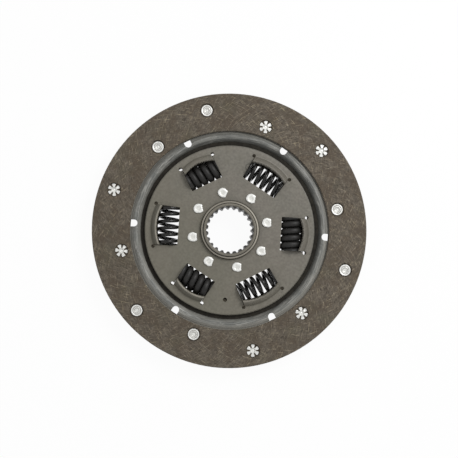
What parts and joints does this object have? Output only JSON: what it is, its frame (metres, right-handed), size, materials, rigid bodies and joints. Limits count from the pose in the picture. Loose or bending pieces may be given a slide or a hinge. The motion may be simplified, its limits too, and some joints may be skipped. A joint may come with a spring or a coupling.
{
  "type": "clutch disc",
  "caption": "Dry clutch driven disc: organic friction ring facings riveted to a beaded carrier, sprung damper plates and a splined hub.",
  "frame": {"origin": "on the shaft axis, at mid thickness of the carrier plate, which is the middle plane between the two friction faces", "axes": "+Z along the shaft axis towards the short end of the hub (the side in the picture), +X and +Y in the plane of the disc, as right and up in the picture"},
  "size_m": [0.28, 0.28, 0.029],
  "materials": {
    "hub_steel": "machined",
    "cover_steel": "phosphated, even dull grey",
    "carrier_steel": "oiled rolled steel with streaks",
    "facing": "ground organic friction lining with fibre flecks",
    "rivet_steel": "bright zinc plated",
    "spring_steel": "oiled black spring steel",
    "friction_ring": "moulded friction material"
  },
  "bodies": {
    "hub_group": {"hub": "hub_steel", "front_cover_plate": "cover_steel", "rear_cover_plate": "cover_steel", "front_friction_ring": "friction_ring", "rear_friction_ring": "friction_ring", "disc_spring": "spring_steel", "hub_rivet_1": "rivet_steel", "hub_rivet_2": "rivet_steel", "hub_rivet_3": "rivet_steel", "hub_rivet_4": "rivet_steel", "hub_rivet_5": "rivet_steel", "hub_rivet_6": "rivet_steel", "hub_rivet_7": "rivet_steel", "hub_rivet_8": "rivet_steel"},
    "friction_disc": {"carrier_plate": "carrier_steel", "front_facing": "facing", "rear_facing": "facing", "facing_rivet_01": "rivet_steel", "facing_rivet_02": "rivet_steel", "facing_rivet_03": "rivet_steel", "facing_rivet_04": "rivet_steel", "facing_rivet_05": "rivet_steel", "facing_rivet_06": "rivet_steel", "facing_rivet_07": "rivet_steel", "facing_rivet_08": "rivet_steel", "facing_rivet_09": "rivet_steel", "facing_rivet_10": "rivet_steel", "facing_rivet_11": "rivet_steel", "facing_rivet_12": "rivet_steel"},
    "soft_springs": {"soft_spring_1": "spring_steel", "soft_spring_2": "spring_steel", "soft_spring_3": "spring_steel"},
    "stiff_springs": {"stiff_spring_1": "spring_steel", "stiff_spring_2": "spring_steel", "stiff_spring_3": "spring_steel"}
  },
  "joints": [
    {"name": "damper_twist", "type": "hinge", "parent": "hub_group", "child": "friction_disc", "pos_m": [0, 0, 0], "axis": [0, 0, 1], "range_deg": [-6, 6], "stiffness_Nm_per_rad": 600, "deforming": ["soft_spring_1", "soft_spring_2", "soft_spring_3", "stiff_spring_1", "stiff_spring_2", "stiff_spring_3"]},
    {"name": "soft_springs_follow", "type": "hinge", "parent": "hub_group", "child": "soft_springs", "pos_m": [0, 0, 0], "axis": [0, 0, 1], "range_deg": [-3, 3]},
    {"name": "stiff_springs_follow", "type": "hinge", "parent": "hub_group", "child": "stiff_springs", "pos_m": [0, 0, 0], "axis": [0, 0, 1], "range_deg": [-1.25, 1.25]}
  ],
  "couplings": [
    {"joint": "soft_springs_follow", "follows": "damper_twist", "ratio": 0.5},
    {"joint": "stiff_springs_follow", "follows": "damper_twist", "ratio": 0.208}
  ]
}
